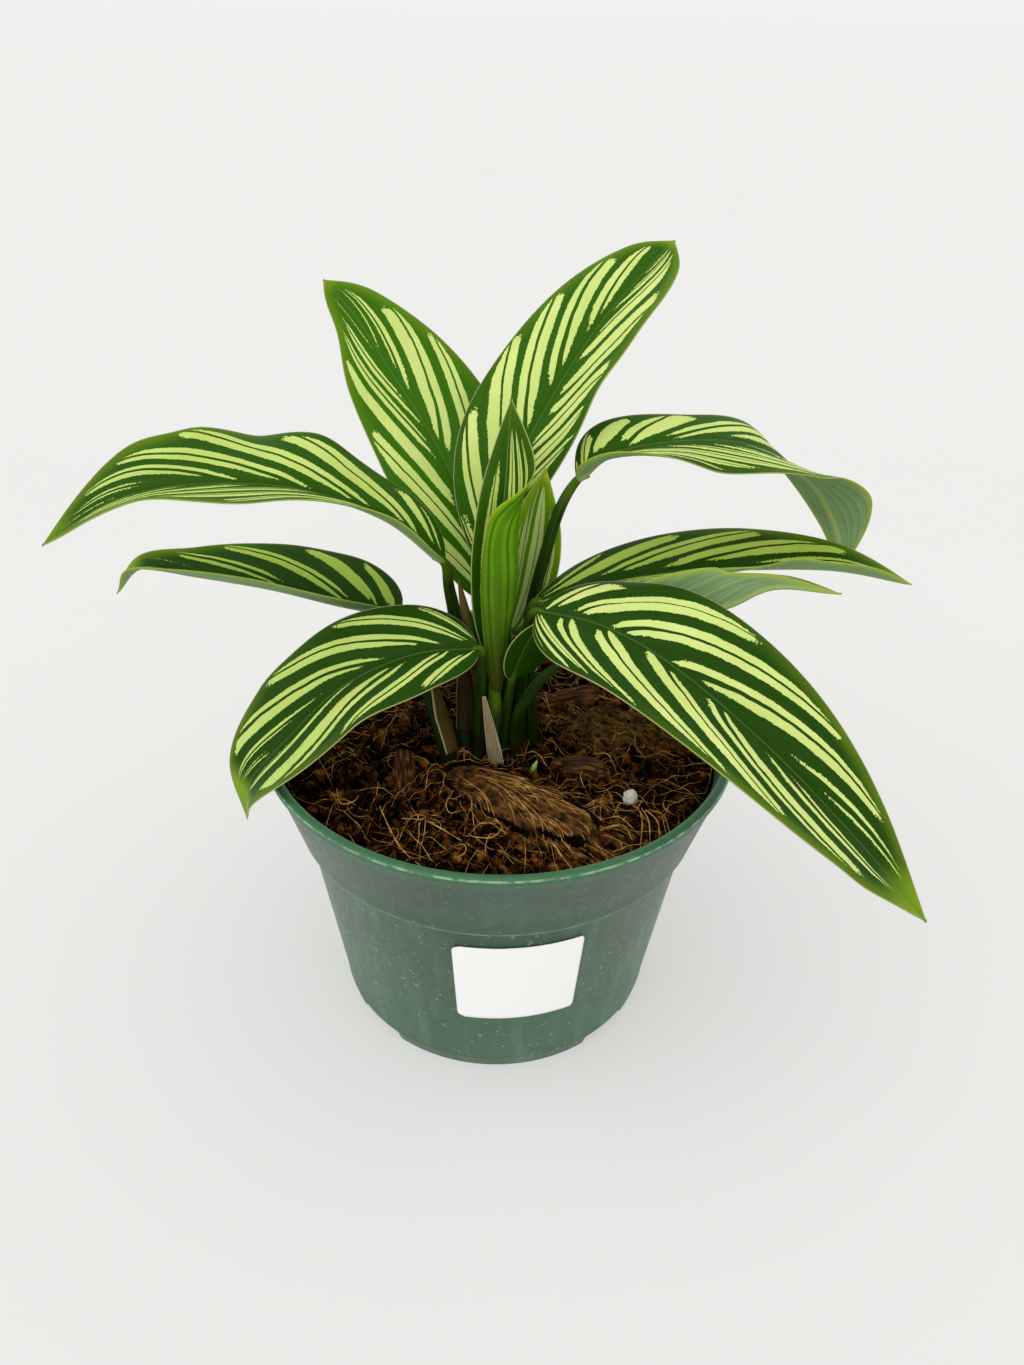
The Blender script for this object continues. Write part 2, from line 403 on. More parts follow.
# %% The leaves' own values
leaves = {
    "left_long": dict(
        rib=[(-18, 5, 158), (-35, 3, 173), (-59, 0, 182), (-85, -3, 184), (-109, -6, 180), (-133, -8, 166)],
        face=[(-0.3, -0.3, 0.9), (0, -0.3, 0.95), (0, -0.3, 0.95), (0, -0.3, 0.95), (-0.2, -0.35, 0.9)],
        half=(20, 21), shape=(0.5, 2.6),
        swell=[(1, 1), (1, 1), (1, 1), (1, 0.95), (1, 0.78)],
        fold=[(45, 25), (35, 25), (25, 25), (25, 26), (20, 30)],
        curl=[(20, -30), (10, -30), (0, -25), (0, -10)],
        ruffles=[(1, 0.22, -2.5, 0.1), (1, 0.37, 2.6, 0.06), (1, 0.5, -2.2, 0.05), (1, 0.62, 1.6, 0.05),
                 (1, 0.74, 2.4, 0.08), (0, 0.5, -1.5, 0.08), (0, 0.7, 1.5, 0.08)],
        veins_right=((-0.04, 0.184, 1), (0.09, 0.46, 1), (0.24, 0.663, 1), (0.376, 0.896, 1),
                     (0.525, 1.03, 1), (0.65, 1.3, 1), (0.78, 1.6, 1)),
        plain=4, tone=(0.35, 0.5, 0.33),
        stalk=[(-11, -8, 96), (-11.5, 1, 119), (-14.5, 6.5, 137), (-16.5, 7, 148)], thick=(2.6, 2.2, 1.6)),
    "left_back": dict(
        rib=[(-33, 16, 134), (-52, 19, 135), (-77, 24, 138), (-104, 28, 140), (-122, 32, 140),
             (-133, 34, 129)],
        face=[(0, -0.5, 0.85), (0, -0.5, 0.85), (0, -0.5, 0.85), (-0.2, -0.5, 0.85), (-0.5, -0.4, 0.7)],
        half=(18, 20), shape=(0.42, 1.3),
        swell=[(1, 1), (1, 1), (1, 0.82), (1, 0.58), (1, 0.75)],
        fold=[(60, 8), (60, 10), (55, 10), (30, 10)],
        curl=[(10, -20), (10, -20), (10, -20), (0, 0)],
        ruffles=[(1, 0.3, -1, 0.08)],
        veins_right=((-0.06, 0.06, 3), (0.045, 0.215, 3), (0.09, 0.37, 1.6), (0.17, 0.59, 1.2),
                     (0.33, 0.8, 1), (0.5, 1.1, 1), (0.65, 1.4, 1)),
        plain=16, tone=(0, 0, 0.26),
        stalk=[(-15.5, -13.5, 96), (-18.5, -9.5, 107), (-23, -1, 115), (-29, 9, 124)], thick=(2.9, 2.5, 2)),
    "left_front": dict(
        rib=[(-6.5, -13.8, 138.6), (-25, -17, 138), (-46, -22, 129.5), (-63, -28, 114), (-75, -31, 100),
             (-78, -31, 85)],
        face=[(0, -0.4, 0.95), (-0.1, -0.4, 0.9), (-0.3, -0.4, 0.9), (-0.5, -0.4, 0.7), (-0.8, -0.4, 0.4)],
        half=(21.5, 21), shape=(0.45, 2.3),
        swell=[(1, 1), (1, 1), (0.97, 1), (0.85, 1), (0.8, 1)],
        fold=[(25, 28), (20, 27), (15, 24), (10, 15)],
        curl=[(-30, -30), (-10, -25), (0, -20), (0, 0)],
        ruffles=[(0, 0.35, 1.5, 0.08), (1, 0.45, -1.5, 0.08)],
        veins_left=((-0.1, 0.05, 1.5), (0.01, 0.205, 1.5), (0.11, 0.462, 1.75), (0.22, 0.715, 1.5),
                    (0.38, 2.3, 1.3), (0.75, 3, 1.3)),
        veins_right=((-0.3, 0.2, 1), (-0.13, 0.387, 1), (0.085, 0.57, 1), (0.25, 0.83, 1),
                     (0.42, 1.76, 1.3), (0.62, 2.2, 1.3)),
        plain=14, tone=(0, 0.5, 0.28),
        stalk=[(-6.3, -12, 96), (-5.8, -13.6, 119), (-5.4, -13.8, 132)], thick=(2.1, 1.7, 1.2)),
    "far_left": dict(
        rib=[(-3, 20, 137), (-11, 30, 160), (-23, 45, 181), (-39, 59, 201), (-51, 68, 216),
             (-61, 73, 225.5)],
        face=[(0.2, -0.8, 0.6), (0.1, -0.8, 0.6), (0.05, -0.75, 0.65), (0, -0.7, 0.7)],
        half=(22, 23), shape=(0.5, 1.8),
        swell=[(1, 1), (1, 1), (0.92, 1), (0.78, 0.95), (0.6, 0.85), (0.9, 0.9)],
        fold=[(25, 25), (18, 15), (12, 10), (8, 8)],
        curl=[(-10, -15), (-10, -15), (0, -10)],
        veins_left=((-0.06, 0.25, 1.1), (0.07, 0.51, 1.1), (0.2, 0.756, 1.15), (0.33, 0.9, 1.05),
                    (0.44, 1.06, 1), (0.57, 1.43, 1.05), (0.74, 1.8, 1.05)),
        veins_right=((0.05, 0.48, 1.2), (0.19, 0.65, 1.2), (0.37, 0.84, 1.2), (0.53, 1.57, 1.4),
                     (0.67, 2.2, 1.4)),
        plain=2, tone=(1, 0.75, 0.34),
        stalk=[(-5, 5, 96), (-5, 11, 111), (-4, 16, 125)], thick=(2.6, 2.3, 2)),
    "far_right": dict(
        rib=[(-4, 14, 149), (1, 20, 176.5), (12, 31, 198), (28, 47, 219.5), (43, 60, 234), (51, 66, 241)],
        face=[(-0.1, -0.8, 0.6), (-0.2, -0.8, 0.6), (-0.2, -0.75, 0.65), (-0.3, -0.6, 0.7)],
        half=(23, 21), shape=(0.5, 1.9),
        swell=[(0.7, 0.4), (1, 0.7), (0.97, 0.86), (0.88, 1), (0.9, 1)],
        fold=[(25, 0), (12, 12), (8, 34), (8, 28), (8, 15)],
        curl=[(-10, 10), (-25, 0), (-10, 0)],
        ruffles=[(1, 0.45, 2.5, 0.05), (1, 0.55, -1, 0.05)],
        veins_left=((-0.15, 0.15, 1.2), (-0.02, 0.33, 1.2), (0.18, 0.5, 0.95), (0.3, 0.64, 1),
                    (0.435, 0.79, 1.05), (0.565, 1.11, 1.1), (0.74, 1.5, 1.1)),
        veins_right=((-0.05, 0.28, 1), (0.05, 0.38, 1), (0.137, 0.45, 0.9), (0.2, 0.5, 0.6),
                     (0.41, 0.74, 2), (0.52, 1.2, 1.5), (0.64, 1.7, 1.5)),
        plain=2, tone=(0.55, 0.8, 0.39),
        stalk=[(1, 2, 96), (0, 4.5, 115), (-3, 10, 132)], thick=(2.6, 2.3, 2)),
    "right_upper": dict(
        rib=[(22, 14, 182), (32, 15, 190), (56, 18, 193.5), (77, 23, 190), (95, 30, 178), (108, 36, 161),
             (115, 37, 143)],
        face=[(-0.5, -0.3, 0.7), (-0.1, -0.3, 0.95), (0, -0.2, 0.95), (0.4, -0.1, 0.9), (0.6, 0.6, 0.4),
              (0.4, 0.95, 0.1), (0.3, 1, 0)],
        half=(18, 19), shape=(0.45, 2.6),
        swell=[(1, 0.8), (1, 0.85), (0.8, 0.78), (0.7, 0.75), (0.6, 0.8), (0.5, 1.15), (0.6, 1)],
        fold=[(20, 45), (20, 14), (12, -2), (12, 0), (12, 5), (15, 10), (15, 10)],
        curl=[(-20, 60), (-20, 45), (-15, -10), (-10, 0), (0, 0), (0, 0)],
        ruffles=[(1, 0.35, -1.5, 0.06), (1, 0.5, 1, 0.06), (1, 0.62, -1.5, 0.05)],
        veins_left=((-0.05, 0.05, 1), (0.03, 0.14, 1), (0.1, 0.23, 1.1), (0.195, 0.315, 1.2),
                    (0.26, 0.62, 1.2), (0.4, 0.95, 1.2), (0.55, 1.2, 1.2), (0.7, 1.5, 1.2)),
        veins_right=((0, 0.53, 1.1), (0.09, 0.66, 1.1), (0.19, 0.82, 1.1), (0.29, 1, 1.1), (0.4, 1.2, 1.1),
                     (0.52, 1.4, 1.1), (0.65, 1.7, 1.1)),
        plain=4, tone=(0.3, 0.6, 0.4),
        stalk=[(9, 3.5, 96), (8.5, 6.4, 118), (9.4, 8, 141), (13.3, 7.4, 162), (17, 9, 175)],
        thick=(2.3, 1.9, 1.6)),
    "right_middle": dict(
        rib=[(10.5, -2.5, 149), (31, 8.5, 150), (56, 16, 151.5), (81, 18, 152.5), (107, 19, 152),
             (131, 18, 148)],
        face=[(-0.2, -0.15, 0.95), (0, -0.15, 1), (0, -0.15, 1), (0.1, -0.15, 1), (0.2, -0.2, 1)],
        half=(18, 18), shape=(0.5, 2.2),
        swell=[(0.6, 0.7), (0.9, 0.97), (1, 1), (1, 1), (1, 1)],
        fold=[(20, 30), (20, 30), (20, 35), (20, 40)],
        curl=[(-20, 0), (-20, 0), (-10, 0), (0, 40)],
        ruffles=[(1, 0.65, 3, 0.08)],
        veins_left=((-0.33, 0.27, 1), (-0.11, 0.477, 1), (0.114, 0.66, 1), (0.358, 0.885, 1),
                    (0.58, 1.6, 1.2), (0.85, 2, 1.2)),
        plain=5, tone=(0, 0, 0.39),
        stalk=[(11, -2, 96), (9.5, -1, 120), (8.3, -1.5, 138)], thick=(2.1, 1.8, 1.4)),
    "right_pale": dict(
        rib=[(31, -7, 141.5), (47, -6, 145), (68, -4.5, 150), (81, -5, 157), (101, -5, 155.5)],
        face=[(0, 0.7, 0.7), (0, 0.7, 0.7), (0, 0.7, 0.7), (0, 0.6, 0.8)],
        half=(9, 14.5), shape=(0.5, 1.5),
        swell=[(0.7, 1), (0.7, 1), (0.7, 0.9), (0.7, 0.45), (1, 0.4)],
        fold=[(90, 60), (90, 55), (90, 55), (60, 50)],
        curl=[(40, 0), (40, 0), (40, 0)],
        plain=4, tone=(0.2, 0.3, 0.28),
        stalk=[(5.3, -10.3, 96), (5.4, -13.2, 112), (8.2, -14.3, 121.3), (13.5, -14.3, 130),
               (22.5, -11, 136.5)],
        thick=(1.8, 1.7, 1.1)),
    "right_front": dict(
        rib=[(11, -10, 150), (29, -18, 150), (48, -28, 144), (75, -40, 126), (102, -50, 102),
             (128, -58, 75)],
        face=[(0, -0.2, 0.95), (0.2, -0.4, 0.85), (0.28, -0.5, 0.8), (0.35, -0.55, 0.75),
              (0.45, -0.5, 0.7)],
        half=(24, 24), shape=(0.5, 2.3),
        swell=[(1, 1.5), (1, 1.12), (1, 1), (0.95, 1), (0.9, 1)],
        fold=[(25, 0), (25, 12), (25, 18), (15, 15)],
        curl=[(-30, -10), (-20, 0), (-10, 0), (-5, 0)],
        ruffles=[(0, 0.2, -2, 0.1), (1, 0.86, -1.5, 0.05)],
        veins_left=((0.03, 0.19, 1.75), (0.12, 0.56, 1.9), (0.25, 0.757, 1.35), (0.43, 0.97, 1.3),
                    (0.61, 1.31, 1.15), (0.95, 2.2, 1.1)),
        veins_right=((-0.01, 0.318, 2.4), (0.1, 0.41, 2.6), (0.21, 0.6, 1.6), (0.375, 0.72, 1.25),
                     (0.51, 0.93, 1.9), (0.61, 1.93, 1.9), (0.9, 3, 1.9)),
        plain=8, tone=(0, 0.85, 0.3),
        stalk=[(6.3, -5.5, 96), (6.8, -4.5, 120), (7.5, -5, 136), (8.8, -7.5, 145.5)],
        thick=(1.9, 1.6, 1.3)),
    "young_front": dict(
        ahead=12,
        rib=[(-1.5, -7, 115), (-2.3, -4, 136), (-1.6, 0.5, 158), (0.3, 6.5, 180.3), (1.5, 12.5, 206)],
        face=[(0, -0.9, 0.5), (0, -0.9, 0.5), (-0.1, -0.9, 0.5)],
        half=(8.5, 25.5), shape=(0.8, 1.7),
        swell=[(1, 1), (1, 0.85), (1, 1), (1.1, 0.75), (1, 0.6)],
        fold=[(30, -10), (20, -10), (10, -10), (5, -5), (0, 10)],
        curl=[(100, 230), (90, 245), (40, 262), (30, 270), (30, 255), (0, 60), (0, 0)],
        plain=3, tone=(0.35, 0.5, 0.31), fresher=0.2,
        veins_left=((-11, -1, 1), (-4, 6, 1), (3, 13, 1)),
        veins_right=((-7.75, 2.25, 1), (-5.4, 4.6, 1), (-3.05, 6.95, 1), (-0.7, 9.3, 1)),
        stalk=[(-1.8, -5, 96), (-1.6, -6, 105)], thick=(2.4, 2.4, 2.2)),
    "young_back": dict(
        ahead=12,
        rib=[(2, 12.8, 130.5), (4.6, 13, 146.3), (6.5, 12.6, 160.6), (8.8, 12.8, 174), (12.2, 13.2, 185.5)],
        face=[(0.1, -0.85, 0.5)],
        half=(5, 12), shape=(0.45, 1.8),
        fold=[(10, 5)], curl=[(20, 15)],
        plain=3, tone=(0.5, 0.5, 0.4),
        veins_left=((-8.4, 6.6, 1), (-2.7, 12.3, 1)),
        veins_right=((-10.65, 4.35, 1), (-4.35, 10.65, 1)),
        stalk=[(4.5, 7.5, 96), (4, 9.5, 112), (2.6, 11, 122)], thick=(2.2, 2, 1.6)),
    "small_shaded": dict(
        rib=[(3.9, -10.5, 126.5), (5.9, -10.9, 134), (8.6, -11.3, 141), (11.6, -11.8, 147.6)],
        face=[(0.35, -0.75, 0.5)],
        half=(6, 15), shape=(0.4, 2.4),
        fold=[(15, -12)], curl=[(10, -20)],
        plain=3, tone=(0.1, 0, -0.3), fresher=0,
        stalk=[(1.6, -9.5, 96), (2.4, -11.3, 114)], thick=(1.3, 1.5, 1.3)),
}
print("leaves:", ", ".join(leaves))

# %% [markdown]
# A leaf blade is a surface of two parameters: the share along the midrib, and the place across it from
# -1 at the left margin to 1 at the right one. Across it, each half is an arc that starts at its fold
# angle and turns by its curl, so it keeps its real width however far it bends.

# %% The blade as a surface
def outline(share, roundness, fullness):
    """share^roundness x (1 - share^fullness), divided by its largest value."""
    widest = (roundness / (roundness + fullness)) ** (1 / fullness)
    largest = widest ** roundness * (1 - widest ** fullness)
    return share ** roundness * (1 - share ** fullness) / largest


def blade_surface(leaf, share, across):
    """midrib + lateral x sideways + rise x normal, and the width of each half.

    A half is an arc: lateral = width / curl x (sin(fold + curl t) - sin(fold)), and rise the same with
    cosines, for t from 0 at the midrib to 1 at the margin. Its waves grow with t squared.
    """
    tangent = direction(leaf["rib"], share)
    sideways = unit(np.cross(tangent, along(leaf["face"], share)))
    normal = np.cross(sideways, tangent)
    points = np.zeros((len(share), len(across), 3))
    widths = np.zeros((len(share), len(across)))
    # A half is never narrower than this: wide enough for the stalk at the foot, and blunt at the tip.
    least = np.where(share < 0.5, 1.4, 0.4)
    for side, sign in ((0, -1), (1, 1)):
        columns = across * sign >= 0 if side else across < 0
        reach = np.abs(across[columns])[None]
        swell = along(leaf.get("swell", [(1, 1)]), share)[:, side]
        width = np.maximum(leaf["half"][side] * outline(share, *leaf["shape"]) * swell, least)[:, None]
        fold = np.radians(along(leaf["fold"], share)[:, side])[:, None]
        curl = np.radians(along(leaf["curl"], share)[:, side])[:, None]
        # A flat half is an arc too, with so little curl that it doesn't show.
        curl = np.where(np.abs(curl) < 1e-3, 1e-3, curl)
        end = fold + curl * reach
        lateral = width / curl * (np.sin(end) - np.sin(fold))
        rise = -width / curl * (np.cos(end) - np.cos(fold))
        for ruffled, place, lift, span in leaf.get("ruffles", []):
            if ruffled == side:
                rise = rise + lift * reach ** 2 * np.exp(-(((share[:, None] - place) / span) ** 2))
        moved = sign * lateral[..., None] * sideways[:, None] + rise[..., None] * normal[:, None]
        points[:, columns] = along(leaf["rib"], share)[:, None] + moved
        widths[:, columns] = width
    return points, widths


middle = blade_surface(leaves["right_front"], np.array([0.5]), np.linspace(-1, 1, 5))[0]
print("across the right front leaf:", middle.round(1).tolist())

# %% [markdown]
# The side veins leave the midrib at a slant and bend towards the tip. A regular pattern of lines would
# look printed, so each half of a leaf has its own list of pairs of stripes. A pair is three values: the
# share where it leaves the midrib, the share where it would meet the margin, and how strongly it bends.
# From the list each point gets a number: whole on the middle of a pair, and halves on the dark between.

# %% Which vein a point lies on
COMMON_VEINS = [(start, start + 0.45 + 0.6 * start, 1.2) for start in np.arange(-0.05, 0.9, 0.13)]


def vein_number(share, across, veins):
    """Vein k lies at start + (end - start) x across^bend; a point's number is read between two veins."""
    start, end, bend = np.array(veins, float).T
    lies_at = start + (end - start) * across[:, None] ** bend
    # The rhythm of the first and the last two veins goes on beyond them, for this many more.
    more = 9
    before = lies_at[:, :1] - more * (lies_at[:, 1:2] - lies_at[:, :1])
    beyond = lies_at[:, -1:] + more * (lies_at[:, -1:] - lies_at[:, -2:-1])
    lies_at = np.concatenate([before, lies_at, beyond], axis=1)
    numbers = [-more, *range(len(veins)), len(veins) - 1 + more]
    return np.stack([np.interp(share, row, numbers) for row in lies_at], axis=1)


half = np.array([0.5])
print("vein at the middle of a half:", vein_number(half, half, COMMON_VEINS).round(2))

# %% [markdown]
# The mesh of a blade is its upper skin, then its underside, in one closed ring for each step along the
# midrib. A flat sheet with a Solidify modifier would have no midrib, so the two sides are worked out
# apart. The upper skin has a groove on the midrib and low swellings on the pairs, and the underside has
# the keel of the midrib. Both lie within 1.5 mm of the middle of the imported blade.

# %% Blades with thickness, midrib and quilting
def blade(name, leaf, index, rows=150, columns=49):
    """Points on the surface, moved along its normal: up to the upper skin, down to the underside."""
    share = np.linspace(0, 1, rows)
    even = np.linspace(-1, 1, columns)
    # Columns stand closer together at the midrib, where the groove is.
    across = np.sign(even) * np.abs(even) ** 1.25
    points, widths = blade_surface(leaf, share, across)
    lengthways = np.gradient(points, axis=0)
    normal = unit(np.cross(np.gradient(points, axis=1), lengthways))
    s, reach = share[:, None], np.abs(across)[None]
    # Each half of each leaf has numbers of its own, 20 apart, so no two halves share their chances.
    vein = np.empty(points.shape[:2])
    for side, (key, half) in enumerate((("veins_left", across < 0), ("veins_right", across >= 0))):
        numbers = vein_number(share, np.abs(across[half]), leaf.get(key, COMMON_VEINS))
        vein[:, half] = numbers + 40 * index + 20 * side + 10
    length = np.linalg.norm(np.diff(along(leaf["rib"], share), axis=0), axis=1).sum()
    rib = reach * widths
    edge = (1 - reach) * widths
    from_tip = (1 - s) * length - leaf["plain"]
    # Stripes end before the margin, earlier near the tip, and at the plain tip. The leaf is fresher
    # along its margin and at its tip.
    ending = np.minimum(edge - 1.6 * smooth(0.5, 0.9, s), 0.5 * from_tip)
    fresh = np.maximum(0.5 * (1 - smooth(0.3, 5, edge)) * smooth(0.3, 0.75, s),
                       1 - smooth(-1, 0.085 * length, from_tip)) * leaf.get("fresher", 1)
    # Swellings of 0.14 mm, a groove of 0.3 mm at most, a sheet of 0.6 mm that thins to 0.26 mm at the
    # margin, and a keel of 0.9 mm that fades towards the tip.
    quilt = 0.14 * np.cos(2 * np.pi * vein) * smooth(1.0, 5.0, rib) * smooth(0.0, 3.0, edge)
    groove = 0.35 * np.exp(-(rib / 0.8) ** 2) * smooth(0, 0.03, s) * (1 - 0.7 * s)
    lift = np.clip(quilt - groove, -0.3, 0.3)[..., None]
    half_thick = (0.13 + 0.17 * smooth(0.0, 1.5, edge))[..., None]
    keel = (0.9 * (1 - s) * np.exp(-(rib / 0.9) ** 2))[..., None]
    rings = both_sides(points + normal * (lift + half_thick),
                       points + normal * (lift - half_thick - keel))
    grids = {"vein": vein, "edge": edge, "rib": rib, "start": rib + leaf.get("ahead", 0),
             "ending": ending, "fresh": fresh}
    values = {key: both_sides(grid, grid) for key, grid in grids.items()}
    values["green"], values["pale"], values["broad"] = leaf["tone"]
    underside = np.concatenate([np.zeros(columns - 1), np.ones(columns + 1)])[None, None]
    # The front young leaf is grown enough for the dark upper skin, and only its underside is young.
    young = name.startswith("young")
    skins = [young_upper if name == "young_back" else leaf_upper, young_under if young else leaf_under]
    skin(f"leaf_{name}", rings, skins, f"blade_{name}", values, underside)


for index, (name, leaf) in enumerate(leaves.items()):
    blade(name, leaf, index)

# %% [markdown]
# Stalks are smooth, round and a little silky. Below the blade sits the joint, a paler stretch where the
# leaf turns to the light. Long streaks in the skin follow the fibres inside. Each stalk is a tube along a
# curve, which ends under the midrib and in its direction, so that blade and stalk look grown together.

# %% Stalk skin
def stalk_skin(name, dark, light, joint, shaded):
    """Silky green, streaks 0.5 mm wide and 10 mm long, a paler joint on top and a darker foot."""
    material, tree = surface(name)
    share, turn = (add(tree, "Attribute", attribute_name=key) for key in ("share", "turn"))
    place = add(tree, "TexCoord")
    lines = add(tree, "CombineXYZ", add(tree, "Math MULTIPLY", turn, 14.0),
                add(tree, "Math MULTIPLY", share, 5.0))
    streak = add(tree, "TexNoise", {"Vector": lines, "Scale": 1.0, "Detail": 3.0})
    cloud = add(tree, "TexNoise", {"Vector": place, "Scale": 90.0, "Detail": 2.0})
    colour = add(tree, "Mix", add(tree, "MapRange", streak, 0.35, 0.7), dark, light)
    # The foot's shade fades in clouds, and the joint begins at 0.7 of the way up.
    foot = add(tree, "MapRange", share, 0.25, 0.62, 1.3, 0.1)
    foot = add(tree, "Math MULTIPLY", foot, cloud)
    colour = add(tree, "Mix", foot, colour, shaded)
    top = add(tree, "MapRange", share, 0.7, 0.78, 0.0, 0.85)
    colour = add(tree, "Mix", top, colour, joint)
    bump = add(tree, "Bump", {"Strength": 0.25, "Distance": 0.0003, "Height": streak})
    add(tree, "OutputMaterial", add(tree, "BsdfPrincipled", {
        "Base Color": colour, "Roughness": 0.45, "Normal": bump, "IOR": 1.42, "Specular IOR Level": 0.12,
        "Subsurface Weight": 0.04, "Subsurface Radius": (0.8, 1.2, 0.2), "Subsurface Scale": 0.001}))
    return material


stalk_green = stalk_skin("calathea stalk, silky green skin", "#142c04", "#2f5008", "#44640a", "#140e05")
stalk_young = stalk_skin("calathea tube of young sheaths", "#4a4430", "#527612", "#5c8012", "#3a2c22")
print("stalks:", stalk_green.name, stalk_young.name, sep="; ")


# %% Stalks
def stalk_path(leaf, reach=3.2, sink=0.9, gap=0.9, buried=10):
    """From buried mm under the soil up to the blade, then on for reach mm, sink mm below its midrib."""
    (x, y, z), *rest = leaf["stalk"]
    share = np.array([0.0])
    facing = direction(leaf["rib"], share)[0]
    below = unit(np.cross(facing, np.cross(facing, along(leaf["face"], share)[0])))
    base = np.array(leaf["rib"][0])
    joint = base - gap * facing + 0.3 * sink * below
    end = base + reach * facing + sink * below
    return np.array([(x, y, z - buried), (x, y, z), *rest, joint, end]), facing


def round_values(rows, ring):
    """The share along a tube, and the place round it, from 1 to 0 and back to 1."""
    turn = np.abs(np.linspace(-1, 1, ring))
    return {"share": np.linspace(0, 1, rows)[None, :, None], "turn": turn[None, None]}


# The tube of the front young leaf goes on inside the rolled blade.
for name, leaf in leaves.items():
    path, facing = stalk_path(leaf, 14, -2.6) if name == "young_front" else stalk_path(leaf)
    first, *others = leaf["thick"]
    rings = tube(path, (first, first, *others, 0.6 * others[-1]), rows=70, ring=20, facing=facing)
    stalk = stalk_young if name == "young_front" else stalk_green
    skin(f"stem_{name}", rings, [stalk], f"stalk_{name}", round_values(70, 20))

# %% [markdown]
# The pot is injection-moulded polypropylene, a soft plastic with a faint sheen, scuffed in transport. It
# is a profile turned round its axis. Its colour depends on the height, so the damp band, the rubbed edge
# of the step and the worn lip stay in their places without a painted picture.

# %% Pot plastic
# In metres: the heights of the step's edge, the lip's foot and the lip's top, and the lip's radius.
STEP, LIP, TOP, RADIUS = 0.075, 0.102, 0.104, 0.0762
polypropylene, tree = surface("moulded polypropylene, scuffed")
place = add(tree, "TexCoord")
# Clouds are 29 mm wide, streaks 6 mm wide and 40 mm high, scuffs 2.4 mm wide, and the specks, one in
# every 4 mm, less than 1 mm.
cloud = add(tree, "TexNoise", {"Vector": place, "Scale": 35.0, "Detail": 5.0})
upright = add(tree, "Mapping", {"Vector": place, "Scale": (1.0, 1.0, 0.15)})
streak = add(tree, "TexNoise", {"Vector": upright, "Scale": 160.0, "Detail": 4.0})
scuff = add(tree, "TexNoise", {"Vector": place, "Scale": 420.0, "Detail": 6.0})
speck = add(tree, "TexVoronoi", {"Vector": place, "Scale": 260.0})
x, y, z = (add(tree, "SeparateXYZ", place, out=number) for number in range(3))
colour = add(tree, "Mix", add(tree, "MapRange", cloud, 0.3, 0.75), "#2b4c33", "#385c41")
for value, low, high, share, tint in ((streak, 0.5, 0.75, 0.35, "#6c8f7b"),
                                      (scuff, 0.62, 0.72, 0.45, "#9fb5a6"),
                                      (speck, 0.12, 0.05, 0.5, "#c4d0c6")):
    colour = add(tree, "Mix", add(tree, "MapRange", value, low, high, 0.0, share), colour, tint)
# The wall above the step is darker, because the soil behind it is damp.
above = add(tree, "MapRange", z, STEP + 0.0005, STEP + 0.0025)
below = add(tree, "MapRange", z, LIP - 0.004, LIP - 0.0005, 0.6, 0.0)
colour = add(tree, "Mix", add(tree, "Math MULTIPLY", above, below), colour, "#1c4428")
# Near the foot the wall is dustier and paler, up to a height of 45 mm.
colour = add(tree, "Mix", add(tree, "MapRange", z, 0.008, 0.045, 0.3, 0.0), colour, "#5f8267")
# The edge of the step is rubbed pale in a thin line.
above = add(tree, "MapRange", z, STEP - 0.0012, STEP - 0.0008)
below = add(tree, "MapRange", z, STEP - 0.0002, STEP + 0.0005, 1.0, 0.0)
rubbed = add(tree, "Math MULTIPLY", above, below)
rubbed = add(tree, "Math MULTIPLY", rubbed, add(tree, "MapRange", scuff, 0.35, 0.6, 0.15, 0.7))
colour = add(tree, "Mix", rubbed, colour, "#8fb39a")
# The lip is a fresher green, with a pale line of wear along the outer edge of its top.
fresher = add(tree, "MapRange", z, LIP - 0.0004, LIP + 0.0004, 0.0, 0.8)
colour = add(tree, "Mix", fresher, colour, "#2f6a42")
radius = add(tree, "VectorMath LENGTH", add(tree, "CombineXYZ", x, y), out=1)
outer = add(tree, "MapRange", radius, RADIUS - 0.0003, RADIUS)
worn = add(tree, "Math MULTIPLY", outer, add(tree, "MapRange", z, TOP - 0.0009, TOP - 0.0003))
worn = add(tree, "Math MULTIPLY", worn, add(tree, "MapRange", scuff, 0.42, 0.6, 0.12, 0.9))
colour = add(tree, "Mix", worn, colour, "#a9c6a9")
bump = add(tree, "Bump", {"Strength": 0.15, "Distance": 0.0003, "Height": scuff})
add(tree, "OutputMaterial", add(tree, "BsdfPrincipled", {
    "Base Color": colour, "Roughness": add(tree, "MapRange", scuff, 0.3, 0.7, 0.36, 0.52), "Normal": bump,
    "IOR": 1.49, "Specular IOR Level": 0.5, "Sheen Weight": 0.06, "Sheen Roughness": 0.4}))
print("pot plastic:", len(tree.nodes), "nodes")

# %% [markdown]
# The wall is thin and leans out, so that pots stack. A step carries the wider band above it, and a
# flat lip stiffens the rim. The four notches of the foot let water out. They could be cut with a boolean,
# but lifting the profile's lower edge where they are leaves clean faces.

# %% Pot
# Radius and height: the floor from below, up the outer wall, over the lip and down the inner wall.
pot_profile = np.array([
    (1, 0), (38, 0), (40, 3), (52, 3), (52.6, 0), (54.7, 0), (55, 0.3), (55.3, 3.4), (55.75, 3.7),
    (55.9, 4.2), (55.75, 4.7), (65.3, 74), (65.6, 74.3), (67.4, 74.5), (67.8, 74.8), (67.9, 75.4),
    (75.1, 101.2), (75.9, 101.5), (76.2, 102), (76.2, 103.6), (76.0, 104), (73.5, 104), (73.2, 103.7),
    (73.0, 102), (66.1, 75.8), (64.0, 74.4), (55.6, 4.8), (39, 4.8), (37, 1.6), (1, 1.6),
], float)


